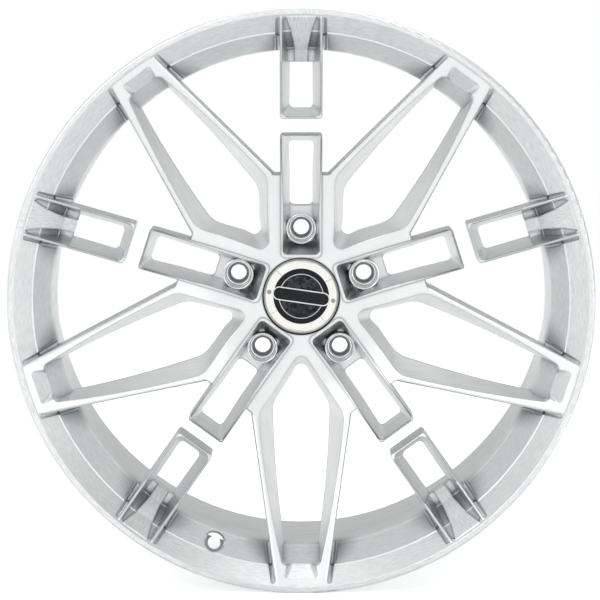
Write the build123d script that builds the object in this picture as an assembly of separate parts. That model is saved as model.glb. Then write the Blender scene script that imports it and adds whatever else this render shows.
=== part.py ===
"""One-piece forged 19 x 9.5J road wheel with its push-in centre cap.

Every piece is modelled lying face up: x to the right, y towards the top of the wheel, z towards
the front. Depths are measured back from the front lip. Each finished piece is then stood upright,
so that the axle line becomes Y, the face looks along -Y and Z is up. The origin is on the axle
line, halfway between the two lips.
"""
import os
from math import atan, atan2, cos, degrees, hypot, radians, sin, tan

from build123d import *
from build123d.topology import topo_explore_connected_faces

# ---- rim size, in millimetres -----------------------------------------------------------------
INCH = 25.4
RIM_WIDTH = 9.5 * INCH
BEAD_RADIUS = 19.0 * INCH / 2
FLANGE_WIDTH = 13.0
LIP_RADIUS = BEAD_RADIUS + 17.5
OVERALL_WIDTH = RIM_WIDTH + 2 * FLANGE_WIDTH
HALF_WIDTH = OVERALL_WIDTH / 2
WHEEL_OFFSET = 20.0
HUB_FACE_DEPTH = HALF_WIDTH - WHEEL_OFFSET
STANDING_FLAT = 0.2

# ---- fastening to the car ---------------------------------------------------------------------
LUG_COUNT = 5
LUG_CIRCLE_RADIUS = 60.0
LUG_HOLE_RADIUS = 7.2
COUNTERBORE_RADIUS = 14.0
COUNTERBORE_DEPTH = 100.0
INSERT_RADIUS = 9.6
INSERT_END_DEPTH = 110.0
INSERT_HOLE_RADIUS = LUG_HOLE_RADIUS
SEAT_MOUTH_RADIUS = 9.1
CENTRE_BORE_RADIUS = 36.3
CENTRE_BORE_START = 88.0

# ---- spoke face and back ----------------------------------------------------------------------
HUB_FLAT_DEPTH = 65.2
HUB_FLAT_RADIUS = 62.0
FACE_BLEND_RADIUS = 95.0
FACE_EDGE_RADIUS = 252.6
FACE_EDGE_DEPTH = 1.2
FRAME_RISE = 1.2
PAD_RADIUS = 78.0
BACK_START_RADIUS = 92.0
BACK_START_DEPTH = 103.0
BACK_END_RADIUS = 224.0
BACK_END_DEPTH = 50.0

# ---- spokes, as plan points (x, y) of a spoke that points up the wheel --------------------------
ARM_OUTER = ((27.8, 220.0), (44.5, 110.0))
ARM_ROOT = 104.0
FRAME_HALF_WIDTH = 18.8
FRAME_CORNER = 2.6
FRAME_FOOT_CORNER = 5.0
HUB_FRAME = (34.6, 147.2)
HUB_FRAME_LAND = 1.53
RIM_FRAME_START = 160.6
TONGUE_FOOT = 211.0
TONGUE_FOOT_DEPTH = 39.0
TONGUE_SLOPE = 0.944
TONGUE_END = 254.0
SLOT_FLOOR_DROP = 1.0
ARM_ROUND = 2.4
WINDOW_ROUND = 1.0
POCKET_ROUND = 0.8
ROUND_END_RADIUS = 247.0
ROUND_END_DEPTH = 72.0

# ---- visible bands inside the front lip: front end and back end of each, as (radius, depth) -----
BAND_1 = ((253.2, 0.0), (238.2, 14.2))
BAND_2 = ((236.9, 14.6), (223.0, 38.5))
BAND_1_GROOVE_RADIUS = 2.2
BAND_1_GROOVE_LIFT = 1.4
BAND_2_GROOVE_RADIUS = 2.8

# ---- cap seat ---------------------------------------------------------------------------------
CAP_RECESS_RADIUS = 34.9
CAP_SHOULDER_DEPTH = 74.0
CAP_THROAT_RADIUS = 31.0
SNAP_GROOVE_RADIUS = 32.4
SNAP_GROOVE_DEPTH = 82.0
SNAP_WIRE_RADIUS = 1.0

# ---- cap --------------------------------------------------------------------------------------
CAP_TILT = -8.0
CAP_RADIUS = 33.9
CAP_RIM_TOP = 66.0
CAP_HEAD_TOP = 67.2
CAP_FLOOR_DEPTH = 72.0
CAP_GAP = 0.3
SPIGOT_RADIUS = 30.6
SPIGOT_TAIL_RADIUS = 29.9
SPIGOT_BORE_RADIUS = 26.0
SPIGOT_END_DEPTH = 86.0
O_RING_DEPTH = 76.7
O_RING_RADIUS = 29.95
O_RING_WIRE_RADIUS = 0.95
SNAP_RING_RADIUS = 31.2
SNAP_RING_GAP = 24.0
FACE_RING_RADIUS = 32.0
FACE_RING_TOP = 65.7
PAD_STEP = 0.5
PAD_HALF_ANGLE = 38.0
EMBLEM_RADIUS = 25.0
EMBLEM_TOP = 66.4
INLAY_RADIUS = 19.4
INLAY_RISE = 0.4
BANNER_LENGTH = 52.0
BANNER_WIDTH = 12.4
BANNER_BORDER = 1.0
BANNER_TOP = 65.3
BANNER_FLOOR = 66.0
SCREW_CIRCLE_RADIUS = 29.1
SCREW_HEAD_RADIUS = 1.9
SCREW_HEAD_FLOOR = 66.8
SCREW_SHANK_RADIUS = 0.8
SCREW_END_DEPTH = 71.0

# ---- valve hole -------------------------------------------------------------------------------
VALVE_ANGLE = 250.3
VALVE_RADIUS = 231.0
VALVE_DEPTH = 26.0
VALVE_TILT = 12.0
VALVE_HOLE_RADIUS = 5.65
VALVE_SEAT_RADIUS = 8.6
VALVE_WALL = 4.5

LUG_STEP = 360.0 / LUG_COUNT
BETWEEN_LUGS = LUG_STEP / 2


def height(depth):
    """Height above the rim's middle of a point that lies this far behind the front lip."""
    return HALF_WIDTH - depth


def face_blend():
    """Ends of the blend from the flat hub to the straight slope of the spokes."""
    slope = atan((HUB_FLAT_DEPTH - FACE_EDGE_DEPTH) / (FACE_EDGE_RADIUS - HUB_FLAT_RADIUS))
    for _ in range(20):
        radius = HUB_FLAT_RADIUS + FACE_BLEND_RADIUS * sin(slope)
        depth = HUB_FLAT_DEPTH - FACE_BLEND_RADIUS * (1 - cos(slope))
        slope = atan((depth - FACE_EDGE_DEPTH) / (FACE_EDGE_RADIUS - radius))
    return radius, depth, slope


BLEND_RADIUS, BLEND_DEPTH, FACE_ANGLE = face_blend()


def face_depth(radius):
    """Depth of the spoke face at a radius."""
    if radius < HUB_FLAT_RADIUS:
        return HUB_FLAT_DEPTH
    if radius < BLEND_RADIUS:
        run = radius - HUB_FLAT_RADIUS
        return HUB_FLAT_DEPTH - FACE_BLEND_RADIUS + (FACE_BLEND_RADIUS**2 - run**2) ** 0.5
    return BLEND_DEPTH - (radius - BLEND_RADIUS) * tan(FACE_ANGLE)


def back_depth(radius):
    """Depth of the spokes' back at a radius."""
    if radius < PAD_RADIUS:
        return HUB_FACE_DEPTH
    slope = (BACK_START_DEPTH - BACK_END_DEPTH) / (BACK_END_RADIUS - BACK_START_RADIUS)
    return min(HUB_FACE_DEPTH, BACK_START_DEPTH - (radius - BACK_START_RADIUS) * slope)


def turned(outline):
    """A ring turned about the axle line from (radius, depth, corner radius) points."""
    points = [(radius, 0, height(depth)) for radius, depth, _ in outline]
    corners = [corner for _, _, corner in outline]
    return revolve(make_face(FilletPolyline(points, radius=corners, close=True)), Axis.Z)


def cylinder(radius, front, back):
    """A plain cylinder on the axle line between two depths."""
    disc = Pos(0, 0, height(back)) * Circle(radius)
    return extrude(disc, back - front)


def outline_at(depth, points, corners):
    """A flat plan outline, with rounded corners, on the plane at this depth."""
    path = FilletPolyline([(x, y, height(depth)) for x, y in points], radius=corners, close=True)
    return make_face(path)


def prism(points, corners, front, back):
    """A straight-sided block of this plan outline between two depths."""
    return extrude(outline_at(back, points, corners), back - front)


def mirrored(half, corners):
    """Both halves of a symmetric outline, from the points on its right side."""
    left = [(-x, y) for x, y in reversed(half) if x > 0]
    left_corners = [c for (x, _), c in reversed(list(zip(half, corners))) if x > 0]
    return half + left, corners + left_corners


def tapered(walls, front, back):
    """A pocket with sloping walls. Each wall corner is (point on the face, point on the back,
    depth of each, corner radius of each), on the right side, and it runs straight through both."""
    outlines = []
    for depth, which in ((front, 0), (back, 1)):
        half = []
        corners = []
        for (x0, y0, d0, r0), (x1, y1, d1, r1) in walls:
            share = (depth - d0) / (d1 - d0)
            half.append((x0 + (x1 - x0) * share, y0 + (y1 - y0) * share))
            corners.append((r0, r1)[which])
        outlines.append(outline_at(depth, *mirrored(half, corners)))
    return loft(outlines, ruled=True)


def corner_on(face_point, back_point, face_corner, back_corner):
    """A wall corner of a pocket that runs from the spoke face to the spoke back."""
    return (
        (*face_point, face_depth(hypot(*face_point)), face_corner),
        (*back_point, back_depth(hypot(*back_point)), back_corner),
    )


def five_times(shape, first_angle):
    """Copies of a shape that points up the wheel, one at each lug or between the lugs."""
    return [Rot(0, 0, first_angle + LUG_STEP * i) * shape for i in range(LUG_COUNT)]


def stand_up(shape, name):
    """Turn a piece from face up to upright and write it."""
    upright = Rot(90, 0, 0) * shape
    upright.label = name
    export_step(upright, f"parts/{name}.step")


# ---- wheel forging ----------------------------------------------------------------------------
def barrel():
    """The rim: J flanges, bead seats with humps, drop centre, and a stepped inner lip. Both lips
    have a hair-thin flat at the bottom, where the wheel stands."""
    ring = turned([
        # front lip and the visible inner bands
        (LIP_RADIUS, 0, 2.2),
        (*BAND_1[0], 1.0),
        (*BAND_1[1], 0),
        (*BAND_2[0], 0),
        (*BAND_2[1], 1.5),
        (222.0, 44, 6),
        (222.0, 98, 12),
        (232.5, 130, 12),
        (236.5, 200, 12),
        (236.5, 247, 6),
        (252.5, OVERALL_WIDTH, 1.5),
        # rear flange and bead seat, from the back forwards
        (LIP_RADIUS, OVERALL_WIDTH, 2.0),
        (LIP_RADIUS, OVERALL_WIDTH - 7, 2.5),
        (250.0, OVERALL_WIDTH - FLANGE_WIDTH, 3),
        (BEAD_RADIUS + 0.4, OVERALL_WIDTH - FLANGE_WIDTH, 5.5),
        (240.0, 234.5, 2),
        (241.2, 232.0, 0),
        (239.9, 228.5, 2),
        (236.4, 132, 12),
        (226.2, 99, 12),
        (226.2, 54, 5),
        # front bead seat and flange
        (240.2, 36.5, 2),
        (241.2, 34.0, 0),
        (240.0, 31.5, 2),
        (BEAD_RADIUS + 0.4, FLANGE_WIDTH, 5.5),
        (250.0, FLANGE_WIDTH, 3),
        (LIP_RADIUS, 7, 2.5),
    ])
    ground = Pos(0, -LIP_RADIUS - 5 + STANDING_FLAT, 0) * Box(60, 10, 2 * OVERALL_WIDTH)
    return ring - ground


def on_band(band, radius):
    """Depth of a band's cone at a radius, also past its ends."""
    (r0, d0), (r1, d1) = band
    return d0 + (radius - r0) * (d1 - d0) / (r1 - r0)


def ball_groove(band, wall, outer, inner, radius, lift):
    """A groove cut by a ball-ended tool along a band, beside the spoke wall of this plan line. Its
    axis runs from the outer to the inner plan height, lifted this far off the band."""
    (x0, y0), (x1, y1) = wall
    run = hypot(x1 - x0, y1 - y0)
    along = ((x0 - x1) / run, (y0 - y1) / run)
    beside = radius - 0.2 - lift / 4
    ends = []
    for reach in (outer, inner):
        x = x0 + along[0] * (reach - y0) / along[1] + along[1] * beside
        y = reach - along[0] * beside
        ends.append(Vector(x, y, height(on_band(band, hypot(x, y)) - lift)))
    path = ends[1] - ends[0]
    groove = extrude(Plane(origin=ends[0], z_dir=path) * Circle(radius), path.length)
    return groove + Pos(ends[0]) * Sphere(radius)


def band_grooves():
    """The grooves that run down both bands along every spoke wall."""
    frame_wall = ((FRAME_HALF_WIDTH, 250.0), (FRAME_HALF_WIDTH, 200.0))
    grooves = []
    for wall, first in ((frame_wall, 0), (ARM_OUTER, BETWEEN_LUGS)):
        deep = ball_groove(BAND_2, wall, 232.6, 214.0, BAND_2_GROOVE_RADIUS, 0)
        shallow = ball_groove(BAND_1, wall, 247.6, 234.0, BAND_1_GROOVE_RADIUS, BAND_1_GROOVE_LIFT)
        for groove in (deep, shallow):
            grooves += five_times(groove, first) + five_times(mirror(groove, Plane.YZ), first)
    return grooves


def below(band, drop):
    """A band's two ends moved this far into the metal."""
    (r0, d0), (r1, d1) = band
    run = hypot(r1 - r0, d1 - d0)
    return [(r + (d1 - d0) / run * drop, d + (r0 - r1) / run * drop, 0) for r, d in band]


def slot_floors():
    """The shallow ends of the slots beside each tongue, where they run out into the bands."""
    outline = tapered([
        ((20.6, 200, -2, 0), (11.9, 200, 47, 0)),
        ((16.6, 251.8, -2, 3), (11.2, 233, 47, 3)),
    ], -2, 47)
    front = below(BAND_1, SLOT_FLOOR_DROP)
    back = below(BAND_2, SLOT_FLOOR_DROP)
    past_lip = (front[0][0] + 3.2, front[0][1] - 3.0, 0)
    reach = turned([(190, past_lip[1], 0), past_lip, front[1], *back, (190, BAND_2[1][1], 0)])
    return [outline & reach for outline in five_times(outline, 0)]


def dish(rise):
    """The full dish that the spokes are milled from, with its face raised by this much."""
    edge = (FACE_EDGE_RADIUS, 0, height(FACE_EDGE_DEPTH - rise * 0.2))
    slope_start = (BLEND_RADIUS, 0, height(BLEND_DEPTH - rise))
    flat_end = (HUB_FLAT_RADIUS, 0, height(HUB_FLAT_DEPTH - rise))
    behind_lip = [(256, 3), (240.6, 16), (239.2, 18), (227, 38.5), (224.4, 44)]
    back = [(BACK_END_RADIUS, BACK_END_DEPTH), (BACK_START_RADIUS, BACK_START_DEPTH)]
    back += [(PAD_RADIUS + 3, HUB_FACE_DEPTH - 2.5), (PAD_RADIUS, HUB_FACE_DEPTH)]
    section = Line((0, 0, height(HUB_FLAT_DEPTH - rise)), flat_end)
    section += TangentArc(flat_end, slope_start, tangent=(1, 0, 0))
    rest = [(radius, 0, height(depth)) for radius, depth in behind_lip + back]
    rest += [(0, 0, height(HUB_FACE_DEPTH)), (0, 0, height(HUB_FLAT_DEPTH - rise))]
    section += Polyline(slope_start, edge, *rest)
    return revolve(make_face(section), Axis.Z)


def turned_plan(point, degrees):
    """A plan point turned about the axle line."""
    x, y = point
    c = cos(radians(degrees))
    s = sin(radians(degrees))
    return x * c - y * s, x * s + y * c


def side_windows():
    """The wide window of one lug, left and right of the two frames that stand in it."""
    (x_rim, y_rim), (x_hub, y_hub) = ARM_OUTER
    slope = (x_rim - x_hub) / (y_rim - y_hub)
    half_step = -BETWEEN_LUGS
    far = turned_plan((-(x_hub + slope * (275 - y_hub)), 275), half_step)
    near = turned_plan((-(x_hub + slope * (ARM_ROOT - y_hub)), ARM_ROOT), half_step)
    half = [far, (0, 300)]
    points, corners = mirrored([near, *half], [0, 0, 0])
    window = prism(points, corners, -5, 120)
    w = FRAME_HALF_WIDTH
    c = FRAME_CORNER
    end = HUB_FRAME[1]
    start = RIM_FRAME_START
    hub_frame = prism([(w, 60), (w, end), (-w, end), (-w, 60)], [0, c, c, 0], -10, 125)
    rim_frame = prism([(w, 330), (w, start), (-w, start), (-w, 330)], [0, c, c, 0], -10, 125)
    return window - hub_frame - rim_frame


def long_window():
    """The coffin-shaped window inside one V spoke, and the milled ramp at its rim end."""
    through = tapered([
        corner_on((16.9, 234.5), (12.9, 234.5), 5, 5),
        corner_on((39.0, 105.5), (26.1, 101.6), 14, 22),
        corner_on((0, 47.5), (0, 59.7), 9, 6),
    ], -5, 118)
    ramp = tapered([
        ((17.6, 225, 0, 0), (9.0, 225, 16, 0)),
        ((17.6, 249.6, 0, 4), (9.0, 234.0, 16, 2)),
    ], -1, 16)
    return through, ramp


def hub_pocket():
    """The channel inside one hub frame: a floor at the lug seat, and a window beyond it."""
    channel = tapered([
        ((24.0, 25.8, 20, 5), (10.9, 47.5, COUNTERBORE_DEPTH, 3)),
        ((20.7, 148.2, 20, 4), (9.3, 137.8, COUNTERBORE_DEPTH, 4)),
    ], 20, COUNTERBORE_DEPTH)
    w = 10.4
    window = prism([(w, 80.5), (w, 112), (-w, 112), (-w, 80.5)], [4, 0, 0, 4], 95, 120)
    return channel, window


def lug_holes():
    """Counterbore, insert bore and stud hole of one lug."""
    place = Pos(0, LUG_CIRCLE_RADIUS, 0)
    counterbore = place * cylinder(COUNTERBORE_RADIUS, 40, COUNTERBORE_DEPTH)
    insert_bore = place * cylinder(INSERT_RADIUS, 90, INSERT_END_DEPTH)
    stud_hole = place * cylinder(LUG_HOLE_RADIUS, 100, 120)
    return counterbore, insert_bore, stud_hole


def rim_pocket():
    """The window inside one rim frame, and the blind pocket from it up to the lip."""
    through = tapered([
        ((23.0, 155.6, -2, 4), (9.4, 171.4, 80, 4)),
        ((20.2, TONGUE_FOOT, -2, 0), (6.0, TONGUE_FOOT, 80, 0)),
    ], -2, 80)
    blind = tapered([
        ((20.6, 200, -2, 0), (11.9, 200, 47, 0)),
        ((16.6, 256.5, -2, 3), (11.2, 233, 47, 3)),
    ], -2, 47)
    return through, blind


def rim_tongue(blank):
    """The sloping tongue that stays standing in the middle of the rim frame's pocket."""
    half = [(6.2, TONGUE_FOOT), (6.2, 225), (9.4, 240), (14.8, TONGUE_END)]
    tongue = prism(*mirrored(half, [0, 12, 20, 0]), -2, 60)
    end_depth = TONGUE_FOOT_DEPTH - (TONGUE_END - TONGUE_FOOT) * TONGUE_SLOPE
    side = [(TONGUE_FOOT, TONGUE_FOOT_DEPTH), (TONGUE_END, end_depth), (TONGUE_END, 60), (TONGUE_FOOT, 60)]
    profile = make_face(Polyline([(-20, y, height(d)) for y, d in side], close=True))
    return blank & tongue & extrude(profile, 40, dir=(1, 0, 0))


def centre_bore():
    """Cap recess, throat with its snap ring groove, and the bore that fits the car's hub."""
    start = CENTRE_BORE_START
    return [
        cylinder(CAP_RECESS_RADIUS, 55, CAP_SHOULDER_DEPTH),
        cylinder(CAP_THROAT_RADIUS, 70, 95),
        cylinder(SNAP_GROOVE_RADIUS, SNAP_GROOVE_DEPTH - 1.2, SNAP_GROOVE_DEPTH + 1.2),
        cylinder(CENTRE_BORE_RADIUS, start, 120),
        turned([
            (30, HUB_FACE_DEPTH - 3, 0),
            (CENTRE_BORE_RADIUS, HUB_FACE_DEPTH - 1.5, 0),
            (CENTRE_BORE_RADIUS + 1.6, HUB_FACE_DEPTH + 0.1, 0),
            (30, HUB_FACE_DEPTH + 1, 0),
        ]),
    ]


def valve_hole():
    """The valve hole, its flat seat on the visible side and its spot face on the tyre side."""
    place = Rot(0, 0, VALVE_ANGLE) * Pos(VALVE_RADIUS, 0, height(VALVE_DEPTH)) * Rot(0, -VALVE_TILT, 0)
    hole = place * Cylinder(VALVE_HOLE_RADIUS, 60)
    seat = place * Pos(0, 0, 10) * Cylinder(VALVE_SEAT_RADIUS, 20)
    spot_face = place * Pos(0, 0, -VALVE_WALL - 20) * Cylinder(VALVE_SEAT_RADIUS + 0.7, 40)
    return [hole, seat, spot_face]


def in_spoke(edge):
    """Plan position of an edge's middle, on a lug's own spoke turned to point up the wheel."""
    middle = edge @ 0.5
    turns = round((degrees(atan2(middle.Y, middle.X)) - 90) / LUG_STEP)
    return turned_plan((middle.X, middle.Y), -LUG_STEP * turns)


def face_edges(body):
    """The sharp edges where a wall drops away from the spokes' face."""
    least_face_tilt = 0.85
    most_wall_tilt = 0.6
    found = []
    for edge in body.edges():
        middle = edge @ 0.5
        if hypot(middle.X, middle.Y) > ROUND_END_RADIUS or middle.Z < height(ROUND_END_DEPTH):
            continue
        sides = [Face(side) for side in topo_explore_connected_faces(edge, body)]
        sides.sort(key=lambda side: side.normal_at(middle).Z)
        wall, face = sides[0], sides[-1]
        is_face = face.normal_at(middle).Z > least_face_tilt
        is_wall = wall.normal_at(middle).Z < most_wall_tilt
        if is_face and is_wall and wall.center().Z < middle.Z:
            found.append(edge)
    return found


def place_of(edge):
    """Which part of the spokes an edge of the face belongs to."""
    x, y = in_spoke(edge)
    x = abs(x)
    start, end = HUB_FRAME
    (x_rim, y_rim), (x_hub, y_hub) = ARM_OUTER
    across, along = turned_plan((-x, y), -BETWEEN_LUGS)
    side = x_hub + (along - y_hub) * (x_rim - x_hub) / (y_rim - y_hub)
    if along > y_hub and abs(abs(across) - side) < 0.3:
        return "arm side"
    if ARM_ROOT - 14 < along <= y_hub and abs(abs(across) - side) < 8:
        return "arm foot"
    if x > FRAME_HALF_WIDTH + 0.2:
        return "window"
    if y > RIM_FRAME_START - 1:
        is_tongue = x < 15 and y > TONGUE_FOOT - 0.3 or x < 18 and y > TONGUE_FOOT + 0.2
        return "tongue" if is_tongue else "rim frame"
    is_inside = min(FRAME_HALF_WIDTH - x, y - start, end - y) > HUB_FRAME_LAND
    return "hub pocket" if is_inside else "hub frame"


def rounded(body):
    """The spokes with the mouths of their windows and pockets rounded off."""
    rounds = {
        "window": WINDOW_ROUND, "arm side": ARM_ROUND, "hub pocket": POCKET_ROUND, "rim frame": POCKET_ROUND,
    }
    for place, radius in rounds.items():
        body = body.fillet(radius, [edge for edge in face_edges(body) if place_of(edge) == place])
    return body


def wheel_forging():
    """The whole forging."""
    w = FRAME_HALF_WIDTH
    start, end = HUB_FRAME
    corners = [FRAME_FOOT_CORNER, FRAME_CORNER, FRAME_CORNER, FRAME_FOOT_CORNER]
    frame = prism([(w, start), (w, end), (-w, end), (-w, start)], corners, 20, 110)
    blank = dish(0)
    raised = dish(FRAME_RISE)
    wheel = blank + [raised & one for one in five_times(frame, 0)]
    wheel -= five_times(side_windows(), 0)
    through, ramp = long_window()
    wheel -= five_times(through, BETWEEN_LUGS) + five_times(ramp, BETWEEN_LUGS)
    for cutter in (*hub_pocket(), *lug_holes(), *rim_pocket()):
        wheel -= five_times(cutter, 0)
    wheel = rounded(wheel)
    wheel += five_times(rim_tongue(blank), 0)
    wheel -= centre_bore()
    wheel += barrel() - band_grooves() - slot_floors()
    wheel -= valve_hole()
    return wheel


# ---- lug seats --------------------------------------------------------------------------------
def lug_seat_insert():
    """A pressed-in steel bush with the cone that a lug bolt seats on."""
    top = COUNTERBORE_DEPTH + 0.2
    cone = (SEAT_MOUTH_RADIUS - INSERT_HOLE_RADIUS) / tan(radians(30))
    bush = turned([
        (INSERT_HOLE_RADIUS, top + cone, 0),
        (SEAT_MOUTH_RADIUS, top, 0),
        (INSERT_RADIUS, top, 0),
        (INSERT_RADIUS, INSERT_END_DEPTH, 0),
        (INSERT_HOLE_RADIUS, INSERT_END_DEPTH, 0),
    ])
    return Pos(0, LUG_CIRCLE_RADIUS, 0) * bush


# ---- cap --------------------------------------------------------------------------------------
def slot(length, width, front, back):
    """A straight bar with round ends, across the cap."""
    return extrude(Pos(0, 0, height(back)) * SlotOverall(length, width), back - front)


def at_screws(shape):
    """The same shape at both cap screws."""
    return [Pos(side * SCREW_CIRCLE_RADIUS, 0, 0) * shape for side in (-1, 1)]


def cap_body():
    """Turned aluminium cap: a head with a raised rim, and a hollow spigot with an O-ring groove."""
    groove_front = O_RING_DEPTH - O_RING_WIRE_RADIUS - 0.15
    groove_back = O_RING_DEPTH + O_RING_WIRE_RADIUS + 0.15
    groove_radius = O_RING_RADIUS - O_RING_WIRE_RADIUS
    tail_start = SNAP_GROOVE_DEPTH - SNAP_WIRE_RADIUS - 0.4
    body = turned([
        (0, CAP_HEAD_TOP, 0),
        (FACE_RING_RADIUS + 0.1, CAP_HEAD_TOP, 0),
        (FACE_RING_RADIUS + 0.1, CAP_RIM_TOP, 0.2),
        (CAP_RADIUS, CAP_RIM_TOP + 1.6, 0.4),
        (CAP_RADIUS, CAP_SHOULDER_DEPTH - CAP_GAP, 0.4),
        (SPIGOT_RADIUS, CAP_SHOULDER_DEPTH - CAP_GAP, 0),
        (SPIGOT_RADIUS, groove_front, 0),
        (groove_radius, groove_front, 0),
        (groove_radius, groove_back, 0),
        (SPIGOT_RADIUS, groove_back, 0),
        (SPIGOT_RADIUS, tail_start, 0),
        (SPIGOT_TAIL_RADIUS, tail_start, 0),
        (SPIGOT_TAIL_RADIUS, SPIGOT_END_DEPTH, 0.8),
        (SPIGOT_BORE_RADIUS, SPIGOT_END_DEPTH, 0.4),
        (SPIGOT_BORE_RADIUS, CAP_FLOOR_DEPTH, 2),
        (0, CAP_FLOOR_DEPTH, 0),
    ])
    return body - at_screws(cylinder(SCREW_SHANK_RADIUS, 60, SCREW_END_DEPTH + 0.3))


def banner_bar():
    """The raised bar across the cap, with a shallow recess inside its border."""
    inner = BANNER_LENGTH - 2 * BANNER_BORDER
    bar = slot(BANNER_LENGTH, BANNER_WIDTH, BANNER_TOP, EMBLEM_TOP)
    return bar - slot(inner, BANNER_WIDTH - 2 * BANNER_BORDER, 60, BANNER_FLOOR)


def banner_inlay():
    """The black strip that fills the bar's recess, a little below its border."""
    length = BANNER_LENGTH - 2 * BANNER_BORDER
    width = BANNER_WIDTH - 2 * BANNER_BORDER
    return slot(length, width, BANNER_TOP + 0.3, BANNER_FLOOR)


def cap_face_ring():
    """The pale turned ring round the emblem, with two raised arcs that carry the screws."""
    low = FACE_RING_TOP + PAD_STEP
    ring = cylinder(FACE_RING_RADIUS, FACE_RING_TOP, CAP_HEAD_TOP) - cylinder(EMBLEM_RADIUS + 0.1, 60, 70)
    reach = 40.0
    far = reach * tan(radians(PAD_HALF_ANGLE))
    notch = prism([(0, 0), (reach, far), (-reach, far)], [0, 0, 0], 60, low)
    ring -= [notch, Rot(0, 0, 180) * notch]
    ring -= slot(BANNER_LENGTH, BANNER_WIDTH, 60, EMBLEM_TOP)
    ring -= at_screws(cylinder(SCREW_HEAD_RADIUS + 0.05, 60, SCREW_HEAD_FLOOR))
    return ring - at_screws(cylinder(SCREW_SHANK_RADIUS, 60, 70))


def emblem_disc():
    """The flat black disc under the bar and the inlays."""
    return cylinder(EMBLEM_RADIUS, EMBLEM_TOP, CAP_HEAD_TOP)


def emblem_inlay(upper):
    """A half-moon of mottled black composite on one side of the bar."""
    side = 1 if upper else -1
    edge = BANNER_WIDTH / 2
    strip = Pos(0, side * (edge + 20), height(EMBLEM_TOP) + INLAY_RISE / 2) * Box(60, 40, INLAY_RISE)
    return cylinder(INLAY_RADIUS, 60, 70) & strip


def cap_screw():
    """A small socket-head screw."""
    head = cylinder(SCREW_HEAD_RADIUS, FACE_RING_TOP - 0.2, SCREW_HEAD_FLOOR)
    head = chamfer(head.edges().group_by(Axis.Z)[-1], 0.25)
    shank = cylinder(SCREW_SHANK_RADIUS, SCREW_HEAD_FLOOR, SCREW_END_DEPTH)
    floor = Pos(0, 0, height(FACE_RING_TOP + 0.8))
    return head + shank - extrude(floor * RegularPolygon(0.95, 6), 3)


def o_ring():
    """The rubber ring in the spigot's groove."""
    return Pos(0, 0, height(O_RING_DEPTH)) * Torus(O_RING_RADIUS, O_RING_WIRE_RADIUS)


def snap_ring():
    """The split wire ring in the wheel's groove, which the spigot clicks into."""
    section = Pos(SNAP_RING_RADIUS, 0, height(SNAP_GROOVE_DEPTH)) * (Plane.XZ * Circle(SNAP_WIRE_RADIUS))
    return revolve(section, Axis.Z, 360 - SNAP_RING_GAP)


os.makedirs("parts", exist_ok=True)
stand_up(wheel_forging(), "wheel_forging")
for number, insert in enumerate(five_times(lug_seat_insert(), 0), 1):
    stand_up(insert, f"lug_seat_insert_{number}")
stand_up(snap_ring(), "snap_ring")

cap_pieces = {
    "cap_body": cap_body(),
    "o_ring": o_ring(),
    "cap_face_ring": cap_face_ring(),
    "emblem_disc": emblem_disc(),
    "emblem_inlay_upper": emblem_inlay(True),
    "emblem_inlay_lower": emblem_inlay(False),
    "banner_bar": banner_bar(),
    "banner_inlay": banner_inlay(),
}
left_screw, right_screw = at_screws(cap_screw())
cap_pieces["cap_screw_left"] = left_screw
cap_pieces["cap_screw_right"] = right_screw
for name, piece in cap_pieces.items():
    stand_up(Rot(0, 0, CAP_TILT) * piece, name)
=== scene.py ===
from math import cos, pi, radians, sin, tan

import bpy
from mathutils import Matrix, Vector


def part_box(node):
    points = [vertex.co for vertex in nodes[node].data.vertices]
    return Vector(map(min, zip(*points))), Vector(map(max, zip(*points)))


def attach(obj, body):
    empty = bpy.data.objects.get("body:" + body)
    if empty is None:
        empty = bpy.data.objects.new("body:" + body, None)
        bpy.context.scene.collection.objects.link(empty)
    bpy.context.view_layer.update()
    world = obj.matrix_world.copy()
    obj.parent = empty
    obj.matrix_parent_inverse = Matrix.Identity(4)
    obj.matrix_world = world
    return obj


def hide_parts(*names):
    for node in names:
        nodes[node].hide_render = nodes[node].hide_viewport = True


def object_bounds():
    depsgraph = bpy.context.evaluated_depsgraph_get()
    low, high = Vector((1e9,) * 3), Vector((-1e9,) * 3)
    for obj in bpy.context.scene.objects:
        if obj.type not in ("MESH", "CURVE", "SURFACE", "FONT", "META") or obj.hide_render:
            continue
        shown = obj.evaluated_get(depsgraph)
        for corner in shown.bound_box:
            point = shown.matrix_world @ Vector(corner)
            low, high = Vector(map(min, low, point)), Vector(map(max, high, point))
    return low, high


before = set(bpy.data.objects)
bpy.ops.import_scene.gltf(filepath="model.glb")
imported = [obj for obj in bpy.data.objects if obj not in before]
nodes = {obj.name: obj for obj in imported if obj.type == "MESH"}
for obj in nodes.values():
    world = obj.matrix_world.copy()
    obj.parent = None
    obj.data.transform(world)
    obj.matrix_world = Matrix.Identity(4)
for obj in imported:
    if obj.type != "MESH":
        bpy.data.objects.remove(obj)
cad_low, cad_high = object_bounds()
bpy.ops.object.select_all(action="DESELECT")


# ---- wheel forging ----------------------------------------------------------------------------
# One forging of 6061 aluminium. The rim is turned, so fine rings run round its bands; the window
# sides are milled, so marks follow their length; the spoke faces are brushed by hand from hub to lip.
MM = 0.001
FRONT_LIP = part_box("wheel_forging")[0].y
SPOKE_STEP = 2 * pi / 5
MID_SPOKE_RADIUS = 150 * MM
TONGUE_FOOT_RADIUS = 210 * MM
BAND_INNER_RADIUS = 221.5 * MM
BAND_RADIUS = 240 * MM
LIP_INNER_RADIUS = 251.2 * MM
DEEP_BAND_DEPTH = 14.4 * MM
DEEP_BAND_FADE = 60 * MM
BARREL_DEPTH = 90 * MM
TONGUE_HALF_WIDTH = 14.8 * MM
CAP_GAP_SHADE_RADIUS = 35.1 * MM
VALVE_SHADE_RADIUS = 8.5 * MM
VALVE_PLACE = Vector((-78.03, -105.45, -217.93)) * MM
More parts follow.
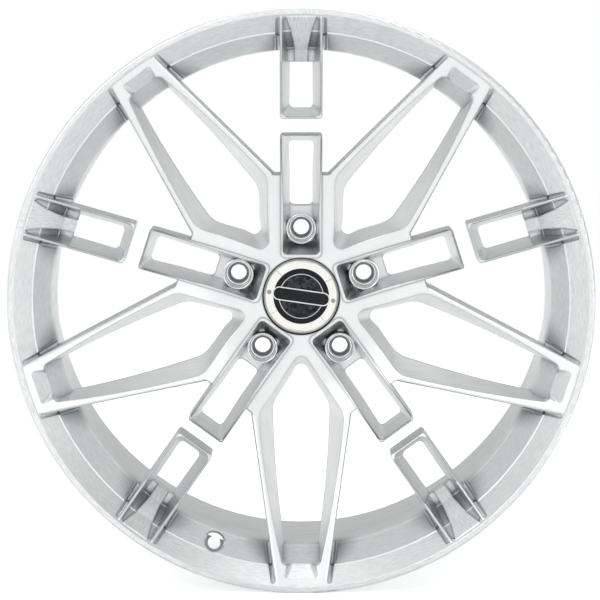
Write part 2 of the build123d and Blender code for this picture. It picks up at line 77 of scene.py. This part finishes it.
# how far a surface leans before it counts as a spoke face, or as facing round the wheel or outward
FACE_SLOPE = 0.86
LEAN = 0.3


def colour(code):
    """A linear colour from an sRGB hex value."""
    parts = [int(code[i:i + 2], 16) / 255 for i in (1, 3, 5)]
    return (*[c / 12.92 if c <= 0.04045 else ((c + 0.055) / 1.055) ** 2.4 for c in parts], 1)


def node(tree, kind, inputs=None, **settings):
    """A shader node with its settings; each input is given a value or another node's output."""
    made = tree.nodes.new("ShaderNode" + kind)
    for name, value in settings.items():
        setattr(made, name, value)
    for socket, value in (inputs or {}).items():
        if isinstance(value, bpy.types.NodeSocket):
            tree.links.new(value, made.inputs[socket])
        else:
            made.inputs[socket].default_value = value
    return made


def new_material(name):
    """An empty node material and its node tree."""
    material = bpy.data.materials.new(name)
    material.use_nodes = True
    material.node_tree.nodes.clear()
    return material, material.node_tree


def dress(piece, material):
    """Give a piece this one material."""
    piece.data.materials.clear()
    piece.data.materials.append(material)


def calc(tree, operation, *values):
    """One step of arithmetic on numbers or outputs."""
    return node(tree, "Math", dict(enumerate(values)), operation=operation).outputs[0]


def length_of(tree, first, second):
    """The length of a step with these two parts, at right angles."""
    squares = calc(tree, "ADD", calc(tree, "MULTIPLY", first, first), calc(tree, "MULTIPLY", second, second))
    return calc(tree, "SQRT", squares)


def around_axle(tree):
    """Place on the wheel: x, y, z, the distance from the axle line, and the depth behind the front lip."""
    place = node(tree, "TexCoord").outputs["Object"]
    x, y, z = node(tree, "SeparateXYZ", {0: place}).outputs
    radius = length_of(tree, x, z)
    depth = calc(tree, "SUBTRACT", y, FRONT_LIP)
    return x, y, z, radius, depth


def streaks(tree, *parts):
    """Noise, from 0 to 1, on a place already divided by the length and width of the marks."""
    vector = node(tree, "CombineXYZ", dict(enumerate(parts))).outputs[0]
    return node(tree, "TexNoise", {
        "Vector": vector, "Scale": 1.0, "Detail": 3.0, "Roughness": 0.6,
    }).outputs[0]


def blend_of(tree, share, first, second):
    """A value that goes from the first to the second as the share goes from 0 to 1."""
    return node(tree, "Mix", {0: share, 2: first, 3: second}).outputs[0]


def mapped(tree, value, low, high, at_low, at_high):
    """A value moved from one range to another, and held at its ends."""
    return node(tree, "MapRange", {0: value, 1: low, 2: high, 3: at_low, 4: at_high}).outputs[0]


def tinted(tree, value, low, high, dark, light):
    """A colour that goes from dark to light as a value goes from low to high."""
    ramp = node(tree, "ValToRGB", {0: value})
    ramp.color_ramp.elements[0].position = low
    ramp.color_ramp.elements[0].color = colour(dark)
    ramp.color_ramp.elements[1].position = high
    ramp.color_ramp.elements[1].color = colour(light)
    return ramp.outputs[0]


def painted_shade_blend(tree, base, share, code):
    """A colour that turns into another, given as a hex value, as the share goes from 0 to 1; used to paint
    shade.
    """
    return node(tree, "Mix", {0: share, 6: base, 7: colour(code)}, data_type="RGBA").outputs[2]


def openness(tree, reach, **settings):
    """How open a place is: 1 where nothing of its own piece is within reach, less in corners."""
    settings.update(samples=8, only_local=True)
    return node(tree, "AmbientOcclusion", {"Distance": reach}, **settings).outputs["AO"]


def finish(tree, base, roughness, metallic, relief=None, relief_height=0.05 * MM, strength=0.3, shine=0.5):
    """The Principled shader and the output of a material, with a bump if a relief is given."""
    inputs = {"Base Color": base, "Roughness": roughness, "Metallic": metallic, "Specular IOR Level": shine}
    if relief is not None:
        inputs["Normal"] = node(tree, "Bump", {
            "Height": relief, "Strength": strength, "Distance": relief_height,
        }).outputs[0]
    surface = node(tree, "BsdfPrincipled", inputs)
    node(tree, "OutputMaterial", {0: surface.outputs[0]})


forged, tree = new_material("turned_and_brushed_aluminium")
x, y, z, radius, depth = around_axle(tree)
across = calc(tree, "DIVIDE", x, radius)
up = calc(tree, "DIVIDE", z, radius)

# place within one of the five lug sectors, as if that lug pointed up
turn = calc(tree, "DIVIDE", calc(tree, "ARCTAN2", x, z), SPOKE_STEP)
sector = calc(tree, "MULTIPLY", calc(tree, "SUBTRACT", turn, calc(tree, "ROUND", turn)), SPOKE_STEP)
sector_x = calc(tree, "MULTIPLY", radius, calc(tree, "SINE", sector))
sector_z = calc(tree, "MULTIPLY", radius, calc(tree, "COSINE", sector))

# rings left by the lathe: 7 mm long and 0.8 mm wide, coarser than real so that they show
profile = calc(tree, "SUBTRACT", radius, depth)
rings = streaks(
    tree,
    calc(tree, "MULTIPLY", across, BAND_RADIUS / (7 * MM)),
    calc(tree, "MULTIPLY", up, BAND_RADIUS / (7 * MM)),
    calc(tree, "DIVIDE", profile, 0.8 * MM),
)

# long rings round the barrel: 45 mm long and 1.5 mm wide, coarser than real so that they show
long_rings = streaks(
    tree,
    calc(tree, "MULTIPLY", across, BAND_RADIUS / (45 * MM)),
    calc(tree, "MULTIPLY", up, BAND_RADIUS / (45 * MM)),
    calc(tree, "DIVIDE", calc(tree, "ADD", depth, calc(tree, "MULTIPLY", radius, 0.5)), 1.5 * MM),
)

# marks along the window sides: 25 mm long and 1.2 mm high
mill = streaks(
    tree,
    calc(tree, "DIVIDE", x, 25 * MM),
    calc(tree, "DIVIDE", z, 25 * MM),
    calc(tree, "DIVIDE", depth, 1.2 * MM),
)

# hand brushing on the faces, from hub to lip: 20 mm long and 0.8 mm wide at mid spoke
brush = streaks(
    tree,
    calc(tree, "MULTIPLY", across, MID_SPOKE_RADIUS / (0.8 * MM)),
    calc(tree, "MULTIPLY", up, MID_SPOKE_RADIUS / (0.8 * MM)),
    calc(tree, "DIVIDE", radius, 20 * MM),
)

# the tongue in each rim frame: short strokes down its slope, 6 mm long and 1 mm wide
dashes = streaks(
    tree,
    calc(tree, "DIVIDE", sector_x, 1.0 * MM),
    calc(tree, "DIVIDE", sector_z, 6 * MM),
    calc(tree, "ROUND", turn),
)

# which of the surfaces a place is on, from where it is and which way it faces
facing = node(tree, "NewGeometry").outputs["Normal"]
nx, ny, nz = node(tree, "SeparateXYZ", {0: facing}).outputs
sideways = calc(tree, "ABSOLUTE", calc(tree, "SUBTRACT",
                calc(tree, "MULTIPLY", nx, up), calc(tree, "MULTIPLY", nz, across)))
on_lip = calc(tree, "GREATER_THAN", radius, LIP_INNER_RADIUS)
on_band = calc(tree, "MULTIPLY", calc(tree, "GREATER_THAN", radius, BAND_INNER_RADIUS),
               calc(tree, "GREATER_THAN", ny, -FACE_SLOPE))
is_turned = calc(tree, "MULTIPLY", calc(tree, "MAXIMUM", on_lip, on_band),
                 calc(tree, "LESS_THAN", sideways, LEAN))
outward = calc(tree, "ADD", calc(tree, "MULTIPLY", nx, across), calc(tree, "MULTIPLY", nz, up))
is_barrel = calc(tree, "MULTIPLY", is_turned, calc(tree, "MAXIMUM",
                 calc(tree, "GREATER_THAN", outward, LEAN), calc(tree, "GREATER_THAN", depth, BARREL_DEPTH)))
is_face = calc(tree, "GREATER_THAN", calc(tree, "ABSOLUTE", ny), FACE_SLOPE)
is_tongue = calc(tree, "MULTIPLY",
                 calc(tree, "LESS_THAN", calc(tree, "ABSOLUTE", sector_x), TONGUE_HALF_WIDTH),
                 calc(tree, "MULTIPLY", calc(tree, "GREATER_THAN", sector_z, TONGUE_FOOT_RADIUS),
                      calc(tree, "LESS_THAN", ny, -LEAN)))
marks = blend_of(tree, is_face, mill, brush)
marks = blend_of(tree, is_turned, marks, rings)
marks = blend_of(tree, is_barrel, marks, long_rings)
marks = blend_of(tree, is_tongue, marks, dashes)

# how strongly the marks show: least on the brushed faces, most on the turned bands and tongues
show = blend_of(tree, is_face, 0.4, 0.2)
show = blend_of(tree, is_turned, show, 0.8)
show = blend_of(tree, is_barrel, show, 0.6)
show = blend_of(tree, is_tongue, show, 0.8)

# broad, faint clouding left by handling and polishing
cloud = node(tree, "TexNoise", {
    "Vector": node(tree, "TexCoord").outputs["Object"], "Scale": 1 / (35 * MM), "Detail": 2.0,
}).outputs[0]
MIDDLE_TONE = 0.55
tone = calc(tree, "ADD", calc(tree, "MULTIPLY", calc(tree, "SUBTRACT", marks, MIDDLE_TONE), show),
            calc(tree, "MULTIPLY", calc(tree, "SUBTRACT", cloud, 0.5), 0.15))
tone = calc(tree, "ADD", tone, MIDDLE_TONE)
base = tinted(tree, tone, 0.25, 0.7, "#CDD0D1", "#FAFBFB")
roughness = mapped(tree, tone, 0.3, 0.7, 0.46, 0.3)

# painted shade: the inner corners are darkened within 4 mm of them, where shade falls
base = painted_shade_blend(tree, base, mapped(tree, openness(tree, 4 * MM), 0.3, 0.95, 0.6, 0.0), "#6E7274")

# painted shade: the turned bands, apart from the barrel, are darkened within 30 mm of a spoke
painted_band_shade = calc(tree, "MULTIPLY", calc(tree, "SUBTRACT", is_turned, is_barrel),
                 mapped(tree, openness(tree, 30 * MM), 0.45, 0.88, 0.75, 0.0))
base = painted_shade_blend(tree, base, painted_band_shade, "#55595B")

# painted shade: a thin dark line along every outer edge, within 2 mm of it, stands in for the dark
# reflection on the rounded edges
painted_edge_shade = openness(tree, 2 * MM, inside=True)
base = painted_shade_blend(tree, base, mapped(tree, painted_edge_shade, 0.45, 0.92, 0.8, 0.0), "#5E6264")

# painted shade: everything inside the bore round the cap is painted dark, for the shadow in the narrow gap
# round the cap
base = painted_shade_blend(tree, base, calc(tree, "LESS_THAN", radius, CAP_GAP_SHADE_RADIUS), "#4A4D4F")

# painted shade: a darker disc round the valve hole stands in for the shading of its chamfer
off_valve = node(tree, "VectorMath", {
    0: node(tree, "TexCoord").outputs["Object"], 1: VALVE_PLACE,
}, operation="DISTANCE").outputs["Value"]
base = painted_shade_blend(tree, base, calc(tree, "LESS_THAN", off_valve, VALVE_SHADE_RADIUS), "#8D9091")

# the deeper band is turned and not polished, so it is duller than the rest and scatters more light
is_deep_band = calc(tree, "MULTIPLY", is_turned, calc(tree, "GREATER_THAN", depth, DEEP_BAND_DEPTH))
is_deep_band = calc(tree, "MULTIPLY", is_deep_band, calc(tree, "LESS_THAN", outward, -LEAN))
fading = mapped(tree, depth, DEEP_BAND_FADE, BARREL_DEPTH, 1.0, 0.0)
metallic = blend_of(tree, calc(tree, "MULTIPLY", is_deep_band, fading), 1.0, 0.5)
finish(tree, base, roughness, metallic, calc(tree, "MULTIPLY", marks, show), 0.05 * MM, 0.2)
dress(nodes["wheel_forging"], forged)


# ---- lug seats --------------------------------------------------------------------------------
# Five steel bushes, pressed into the hub, that take the bolts' cones. Each is turned about its own
# lug hole, so its rings are centred there.
LUG_CIRCLE_RADIUS = 60 * MM
steel, tree = new_material("turned_seat_steel")
x, y, z, radius, depth = around_axle(tree)
turn = calc(tree, "ROUND", calc(tree, "DIVIDE", calc(tree, "ARCTAN2", x, z), SPOKE_STEP))
angle = calc(tree, "MULTIPLY", turn, SPOKE_STEP)
from_x = calc(tree, "SUBTRACT", x, calc(tree, "MULTIPLY", calc(tree, "SINE", angle), LUG_CIRCLE_RADIUS))
from_z = calc(tree, "SUBTRACT", z, calc(tree, "MULTIPLY", calc(tree, "COSINE", angle), LUG_CIRCLE_RADIUS))
from_hole = length_of(tree, from_x, from_z)
# rings 0.35 mm wide
turned = streaks(
    tree,
    calc(tree, "DIVIDE", from_x, 8 * MM),
    calc(tree, "DIVIDE", from_z, 8 * MM),
    calc(tree, "DIVIDE", calc(tree, "ADD", from_hole, depth), 0.35 * MM),
)
base = tinted(tree, turned, 0.3, 0.7, "#8E9192", "#B4B6B7")
finish(tree, base, mapped(tree, turned, 0.3, 0.7, 0.5, 0.36), 1.0, turned, 0.03 * MM)
for number in range(1, 6):
    dress(nodes[f"lug_seat_insert_{number}"], steel)


# ---- lug seat collars -------------------------------------------------------------------------
# Each seat stands in a thin turned cup, flush with the counterbore, that guides the bolt to its cone.
# Its section is drawn from the foot, over the rim and down inside, and closed along the floor.
def behind_lip(depth):
    """The y of a depth behind the front lip, given in millimetres."""
    return FRONT_LIP + depth * MM


def turned_band(name, section, teeth):
    """A closed ring about the axle line: a circle of edges drawn through each (radius, depth)."""
    radius, depth = section[0]
    bpy.ops.object.select_all(action="DESELECT")
    bpy.ops.mesh.primitive_circle_add(vertices=teeth, radius=radius * MM, fill_type="NOTHING",
                                      location=(0, behind_lip(depth), 0), rotation=(pi / 2, 0, 0))
    band = bpy.context.object
    band.name = name
    bpy.ops.object.transform_apply(location=True, rotation=True, scale=True)
    bpy.ops.object.mode_set(mode="EDIT")
    bpy.ops.mesh.select_mode(type="EDGE")
    bpy.ops.mesh.select_all(action="SELECT")
    for next_radius, next_depth in section[1:]:
        step = (0, (next_depth - depth) * MM, 0)
        bpy.ops.mesh.extrude_region_move(TRANSFORM_OT_translate={"value": step})
        share = next_radius / radius
        bpy.ops.transform.resize(value=(share, 1, share), center_override=(0, behind_lip(next_depth), 0))
        radius, depth = next_radius, next_depth
    bpy.ops.mesh.select_all(action="DESELECT")
    bpy.ops.mesh.select_non_manifold(use_wire=False, use_multi_face=False, use_non_contiguous=False,
                                     use_verts=False)
    bpy.ops.mesh.bridge_edge_loops()
    bpy.ops.mesh.select_all(action="SELECT")
    bpy.ops.mesh.normals_make_consistent(inside=False)
    bpy.ops.object.mode_set(mode="OBJECT")
    return band


collar_metal, tree = new_material("turned_collar_aluminium")
x, y, z, radius, depth = around_axle(tree)
# turning rings 0.5 mm wide down the cup
cut = streaks(
    tree,
    calc(tree, "DIVIDE", x, 9 * MM),
    calc(tree, "DIVIDE", z, 9 * MM),
    calc(tree, "DIVIDE", depth, 0.5 * MM),
)
base = tinted(tree, cut, 0.3, 0.7, "#D2D5D5", "#FAFBFB")
finish(tree, base, mapped(tree, cut, 0.3, 0.7, 0.3, 0.2), 1.0, cut, 0.03 * MM)
for number in range(5):
    collar = turned_band(f"lug_seat_collar_{number + 1}", [
        (13.6, 99.9), (13.8, 99.7), (13.8, 81.6), (13.6, 81.2), (13.0, 81.0), (12.5, 81.3),
        (12.2, 82.2), (11.5, 96.9), (10.9, 97.6), (10.0, 97.8), (9.7, 98.1), (9.7, 99.9),
    ], 72)
    bpy.ops.object.shade_smooth_by_angle(angle=radians(30))
    angle = number * SPOKE_STEP
    bpy.ops.object.mode_set(mode="EDIT")
    bpy.ops.mesh.select_all(action="SELECT")
    bpy.ops.transform.translate(value=(LUG_CIRCLE_RADIUS * sin(angle), 0, LUG_CIRCLE_RADIUS * cos(angle)))
    bpy.ops.object.mode_set(mode="OBJECT")
    dress(collar, collar_metal)
    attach(collar, "wheel")


# ---- snap ring --------------------------------------------------------------------------------
# Drawn spring-steel wire in a groove of the hub bore, where it holds the cap. It is oiled and
# slightly blued, with faint marks along the wire.
spring, tree = new_material("blued_spring_wire")
x, y, z, radius, depth = around_axle(tree)
drawn = streaks(
    tree,
    calc(tree, "DIVIDE", calc(tree, "ARCTAN2", x, z), 0.5),
    calc(tree, "DIVIDE", radius, 0.3 * MM),
    calc(tree, "DIVIDE", depth, 0.3 * MM),
)
base = tinted(tree, drawn, 0.3, 0.7, "#4C5157", "#7B8084")
finish(tree, base, mapped(tree, drawn, 0.3, 0.7, 0.42, 0.3), 1.0, drawn, 0.02 * MM)
dress(nodes["snap_ring"], spring)


# ---- cap body ---------------------------------------------------------------------------------
# The cap is turned from bar, with a hollow spigot at the back. A fine straight knurl is rolled
# round its head so that fingers grip it.
KNURL_TEETH = 180


def turned_shell(name, section, teeth):
    """Draw a circle of edges through each (radius, y) of a section, closing it at the axle line."""
    radius, y = section[0]
    bpy.ops.mesh.primitive_circle_add(vertices=teeth, radius=radius, fill_type="TRIFAN",
                                      location=(0, y, 0), rotation=(pi / 2, 0, 0))
    shell = bpy.context.object
    shell.name = name
    bpy.ops.object.transform_apply(location=True, rotation=True, scale=True)
    bpy.ops.object.mode_set(mode="EDIT")
    bpy.ops.mesh.select_mode(type="EDGE")
    bpy.ops.mesh.select_all(action="DESELECT")
    bpy.ops.mesh.select_non_manifold(use_wire=False, use_multi_face=False, use_non_contiguous=False,
                                     use_verts=False)
    for next_radius, next_y in section[1:]:
        bpy.ops.mesh.extrude_region_move(TRANSFORM_OT_translate={"value": (0, next_y - y, 0)})
        share = next_radius / radius
        bpy.ops.transform.resize(value=(share, 1, share), center_override=(0, next_y, 0))
        radius, y = next_radius, next_y
    bpy.ops.mesh.extrude_region_move(TRANSFORM_OT_translate={"value": (0, 0, 0)})
    bpy.ops.mesh.merge(type="CENTER")
    bpy.ops.mesh.select_all(action="SELECT")
    bpy.ops.mesh.normals_make_consistent(inside=False)
    bpy.ops.object.mode_set(mode="OBJECT")
    return shell


cap = turned_shell("cap_with_knurl", [
    (32.1 * MM, behind_lip(67.2)), (32.1 * MM, behind_lip(66.15)), (32.3 * MM, behind_lip(66.0)),
    (32.9 * MM, behind_lip(66.3)), (33.6 * MM, behind_lip(67.1)), (33.85 * MM, behind_lip(67.6)),
    (33.85 * MM, behind_lip(73.3)), (33.5 * MM, behind_lip(73.7)), (30.6 * MM, behind_lip(73.7)),
    (30.6 * MM, behind_lip(75.6)), (29.0 * MM, behind_lip(75.6)), (29.0 * MM, behind_lip(77.8)),
    (30.6 * MM, behind_lip(77.8)), (30.6 * MM, behind_lip(80.6)), (29.9 * MM, behind_lip(80.6)),
    (29.9 * MM, behind_lip(85.3)), (29.2 * MM, behind_lip(86.0)), (26.4 * MM, behind_lip(86.0)),
    (26.0 * MM, behind_lip(85.6)), (26.0 * MM, behind_lip(74.0)), (24.0 * MM, behind_lip(72.0)),
], KNURL_TEETH)
for side in cap.data.polygons:
    middle = side.center
    side.select = Vector((middle.x, 0, middle.z)).length > 32.5 * MM and middle.y < behind_lip(73.4)
bpy.ops.object.mode_set(mode="EDIT")
bpy.ops.mesh.select_mode(type="FACE")
bpy.ops.mesh.inset(thickness=0.18 * MM, use_individual=True)
bpy.ops.transform.shrink_fatten(value=-0.22 * MM)
bpy.ops.object.mode_set(mode="OBJECT")
bpy.ops.object.shade_smooth_by_angle(angle=radians(25))
turned_cap, tree = new_material("turned_cap_aluminium")
x, y, z, radius, depth = around_axle(tree)
# lathe rings 0.4 mm wide
lathe = streaks(
    tree,
    calc(tree, "DIVIDE", x, 12 * MM),
    calc(tree, "DIVIDE", z, 12 * MM),
    calc(tree, "DIVIDE", calc(tree, "ADD", radius, depth), 0.4 * MM),
)
base = tinted(tree, lathe, 0.3, 0.7, "#B9BBBA", "#E6E6E2")
finish(tree, base, mapped(tree, lathe, 0.3, 0.7, 0.42, 0.28), 1.0, lathe, 0.03 * MM)
dress(cap, turned_cap)
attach(cap, "cap")
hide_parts("cap_body")


# ---- cap face ring ----------------------------------------------------------------------------
# The ring round the emblem carries the screws. It is turned and clear-anodised to a pale,
# slightly warm satin.
satin, tree = new_material("pale_anodised_ring")
x, y, z, radius, depth = around_axle(tree)
# turning marks 0.5 mm wide and 9 mm long
fine = streaks(
    tree,
    calc(tree, "DIVIDE", x, 9 * MM),
    calc(tree, "DIVIDE", z, 9 * MM),
    calc(tree, "DIVIDE", radius, 0.5 * MM),
)
base = tinted(tree, fine, 0.3, 0.7, "#E9E8E3", "#FDFDFA")
# painted shade: the corner under each raised arc is darkened within 1 mm of it
base = painted_shade_blend(tree, base, mapped(tree, openness(tree, 1 * MM), 0.5, 0.95, 0.85, 0.0), "#5E5F5C")
finish(tree, base, mapped(tree, fine, 0.3, 0.7, 0.4, 0.28), 0.9, fine, 0.03 * MM)
dress(nodes["cap_face_ring"], satin)


# ---- emblem disc ------------------------------------------------------------------------------
# A black enamelled disc, let into the ring under the bar and left plain, with dust-fine specks
# in the enamel.
enamel, tree = new_material("black_enamel")
place = node(tree, "TexCoord").outputs["Object"]
# specks 0.6 mm across
specks = node(tree, "TexNoise", {"Vector": place, "Scale": 1 / (0.6 * MM), "Detail": 3.0}).outputs[0]
base = tinted(tree, specks, 0.4, 0.72, "#121314", "#2A2D2F")
finish(tree, base, mapped(tree, specks, 0.4, 0.7, 0.5, 0.38), 0.0, specks, 0.02 * MM, 0.2, 0.15)
dress(nodes["emblem_disc"], enamel)


# ---- emblem inlays ----------------------------------------------------------------------------
# Two half-moons of forged carbon: short flat chips pressed at random and sealed in clear resin.
chips, tree = new_material("forged_carbon")
place = node(tree, "TexCoord").outputs["Object"]
wander = node(tree, "TexNoise", {"Vector": place, "Scale": 1 / (5 * MM), "Detail": 2.0}).outputs[1]
bent = node(tree, "VectorMath", {0: wander, "Scale": 3 * MM}, operation="SCALE").outputs[0]
bent = node(tree, "VectorMath", {0: place, 1: bent}, operation="ADD").outputs[0]
# chips about 2.5 mm across, and streaks of fibre in them 0.5 mm wide
cells = node(tree, "TexVoronoi", {"Vector": bent, "Scale": 1 / (2.5 * MM)}).outputs["Color"]
shade, lean, _ = node(tree, "SeparateXYZ", {0: cells}).outputs
fibre = node(tree, "TexNoise", {"Vector": bent, "Scale": 1 / (0.9 * MM), "Detail": 3.0}).outputs[0]
value = calc(tree, "ADD", calc(tree, "MULTIPLY", shade, 0.55), calc(tree, "MULTIPLY", fibre, 0.45))
base = tinted(tree, value, 0.2, 0.85, "#0B0C0D", "#46494B")
finish(tree, base, mapped(tree, lean, 0.0, 1.0, 0.26, 0.42), 0.2, fibre, 0.02 * MM, 0.2, 0.15)
for half in ("emblem_inlay_upper", "emblem_inlay_lower"):
    dress(nodes[half], chips)


# ---- emblem circle ----------------------------------------------------------------------------
# A fine raised silver line round the half-moons, turned as a thin ring and let into the enamel.
line = turned_band("emblem_circle", [
    (20.3, 66.4), (20.3, 66.13), (20.22, 66.05), (19.68, 66.05), (19.6, 66.13), (19.6, 66.4),
], 144)
bpy.ops.object.shade_smooth_by_angle(angle=radians(25))
silver, tree = new_material("polished_silver_line")
x, y, z, radius, depth = around_axle(tree)
# polishing marks 0.2 mm wide
polish = streaks(
    tree,
    calc(tree, "DIVIDE", x, 6 * MM),
    calc(tree, "DIVIDE", z, 6 * MM),
    calc(tree, "DIVIDE", radius, 0.2 * MM),
)
base = tinted(tree, polish, 0.3, 0.7, "#C9CACA", "#F2F3F3")
finish(tree, base, mapped(tree, polish, 0.3, 0.7, 0.36, 0.24), 1.0)
dress(line, silver)
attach(line, "cap")


# ---- banner bar -------------------------------------------------------------------------------
# The aluminium bar across the cap is machined with round ends, and its raised border is brushed
# along its length.
bar_metal, tree = new_material("brushed_bar_aluminium")
x, y, z, radius, depth = around_axle(tree)
BAR_TILT = radians(8)
along_bar = calc(tree, "SUBTRACT", calc(tree, "MULTIPLY", x, cos(BAR_TILT)),
                 calc(tree, "MULTIPLY", z, sin(BAR_TILT)))
across_bar = calc(tree, "ADD", calc(tree, "MULTIPLY", x, sin(BAR_TILT)),
                  calc(tree, "MULTIPLY", z, cos(BAR_TILT)))
# strokes 10 mm long and 0.3 mm wide
strokes = streaks(
    tree,
    calc(tree, "DIVIDE", along_bar, 10 * MM),
    calc(tree, "DIVIDE", across_bar, 0.3 * MM),
    calc(tree, "DIVIDE", depth, 0.3 * MM),
)
base = tinted(tree, strokes, 0.3, 0.7, "#D0D1D1", "#F6F7F7")
finish(tree, base, mapped(tree, strokes, 0.3, 0.7, 0.4, 0.26), 1.0, strokes, 0.02 * MM)
dress(nodes["banner_bar"], bar_metal)


# ---- banner inlay -----------------------------------------------------------------------------
# The strip in the bar's recess is sprayed with satin black lacquer and left plain, with a faint
# orange peel.
lacquer, tree = new_material("satin_black_lacquer")
place = node(tree, "TexCoord").outputs["Object"]
# ripples 1.5 mm across
peel = node(tree, "TexNoise", {"Vector": place, "Scale": 1 / (1.5 * MM), "Detail": 2.0}).outputs[0]
base = tinted(tree, peel, 0.35, 0.7, "#17191A", "#2A2C2E")
finish(tree, base, mapped(tree, peel, 0.35, 0.7, 0.42, 0.34), 0.0, peel, 0.02 * MM, 0.25, 0.15)
dress(nodes["banner_inlay"], lacquer)


# ---- cap screws -------------------------------------------------------------------------------
# Two small socket-head screws in stainless steel, with turned heads, that fix the ring to the
# cap at the ends of the bar.
stainless, tree = new_material("stainless_screw_steel")
place = node(tree, "TexCoord").outputs["Object"]
# grain 0.4 mm across
grain = node(tree, "TexNoise", {"Vector": place, "Scale": 1 / (0.4 * MM), "Detail": 3.0}).outputs[0]
base = tinted(tree, grain, 0.3, 0.7, "#8E9091", "#B4B6B6")
finish(tree, base, mapped(tree, grain, 0.3, 0.7, 0.38, 0.26), 1.0, grain, 0.02 * MM)
for side in ("left", "right"):
    dress(nodes[f"cap_screw_{side}"], stainless)


# ---- O-ring -----------------------------------------------------------------------------------
# Moulded black rubber in the spigot's groove, which keeps the cap from rattling, with a dull
# bloom.
rubber, tree = new_material("black_rubber")
place = node(tree, "TexCoord").outputs["Object"]
# bloom in patches 2 mm across
bloom = node(tree, "TexNoise", {"Vector": place, "Scale": 1 / (2 * MM), "Detail": 3.0}).outputs[0]
base = tinted(tree, bloom, 0.35, 0.7, "#161616", "#2B2B2A")
finish(tree, base, mapped(tree, bloom, 0.35, 0.7, 0.62, 0.78), 0.0, bloom, 0.02 * MM)
dress(nodes["o_ring"], rubber)


# ---- studio -----------------------------------------------------------------------------------
# A white table and sweep with soft lamps, and the camera a little above the axle line.
bpy.ops.mesh.primitive_plane_add(size=60, location=(0, 0, cad_low[2]))
floor = bpy.context.object
floor.name = "table"
white, tree = new_material("white_table")
x, y, *_ = around_axle(tree)
near = mapped(tree, length_of(tree, x, y), 0.8, 2.5, 1.0, 0.0)
light_path = node(tree, "LightPath")
seen = calc(tree, "ADD", calc(tree, "MULTIPLY", light_path.outputs["Is Camera Ray"], 0.55),
            calc(tree, "MULTIPLY", light_path.outputs["Is Glossy Ray"], 0.2))
paper = node(tree, "BsdfDiffuse", {"Color": colour("#E4E4E4")})
glow_near = node(tree, "Emission", {"Color": colour("#FFFFFF"), "Strength": seen})
both = node(tree, "AddShader", {0: paper.outputs[0], 1: glow_near.outputs[0]})
far = node(tree, "Emission", {"Color": colour("#FFFFFF"), "Strength": 1.0})
table = node(tree, "MixShader", {0: near, 1: far.outputs[0], 2: both.outputs[0]})
node(tree, "OutputMaterial", {0: table.outputs[0]})
dress(floor, white)

# the room: brightest behind the camera, bright overhead and at the sides, dim behind the wheel
world = bpy.data.worlds.new("studio")
bpy.context.scene.world = world
world.use_nodes = True
tree = world.node_tree
tree.nodes.clear()
direction = node(tree, "TexCoord").outputs["Generated"]
beside, away, above = node(tree, "SeparateXYZ", {0: direction}).outputs
front_wall = mapped(tree, away, -0.75, -0.4, 0.6, 0.0)
side_walls = mapped(tree, calc(tree, "ABSOLUTE", beside), 0.6, 0.95, 0.0, 0.55)
ceiling = mapped(tree, above, 0.7, 0.97, 0.0, 0.65)
back_wall = calc(tree, "SUBTRACT", mapped(tree, away, 0.2, 0.5, 0.0, 0.5),
                 mapped(tree, away, 0.8, 0.96, 0.0, 0.45))
room = calc(tree, "ADD", calc(tree, "ADD", front_wall, side_walls), calc(tree, "ADD", ceiling, 0.36))
room = calc(tree, "ADD", room, back_wall)
light_path = node(tree, "LightPath")
ambient = node(tree, "Background", {"Color": colour("#FFFFFF"), "Strength": room})
backdrop = node(tree, "Background", {"Color": colour("#FFFFFF"), "Strength": 1.0})
shown = node(tree, "MixShader", {
    0: light_path.outputs["Is Camera Ray"], 1: ambient.outputs[0], 2: backdrop.outputs[0],
})
node(tree, "OutputWorld", {0: shown.outputs[0]})


def soft_lamp(name, place, power):
    """A square soft lamp at a place, turned towards the middle of the wheel."""
    lamp = bpy.data.lights.new(name, "AREA")
    lamp.shape = "SQUARE"
    lamp.size = LAMP_SIZE
    lamp.energy = power
    holder = bpy.data.objects.new(name, lamp)
    holder.location = place
    holder.rotation_euler = (-Vector(place)).to_track_quat("-Z", "Y").to_euler()
    bpy.context.scene.collection.objects.link(holder)


LAMP_SIZE = 1.6
soft_lamp("key_lamp", (-1.6, -2.4, 1.6), 18)
soft_lamp("fill_lamp", (2.0, -2.2, 0.6), 8)
soft_lamp("top_lamp", (0.2, 0.3, 2.6), 16)

CAMERA_DISTANCE = 2.5
CAMERA_RISE = radians(5.5)
lip_centre = Vector((0, cad_low[1], 0))
camera_data = bpy.data.cameras.new("camera")
camera_data.lens = 170.8
camera_data.sensor_width = 36
camera_data.shift_x = -0.002
camera_data.shift_y = 0.0055
camera = bpy.data.objects.new("camera", camera_data)
camera.location = lip_centre + CAMERA_DISTANCE * Vector((0, -cos(CAMERA_RISE), sin(CAMERA_RISE)))
camera.rotation_euler = (pi / 2 - CAMERA_RISE, 0, 0)
bpy.context.scene.collection.objects.link(camera)
bpy.context.scene.camera = camera
bpy.context.scene.view_settings.view_transform = "Standard"
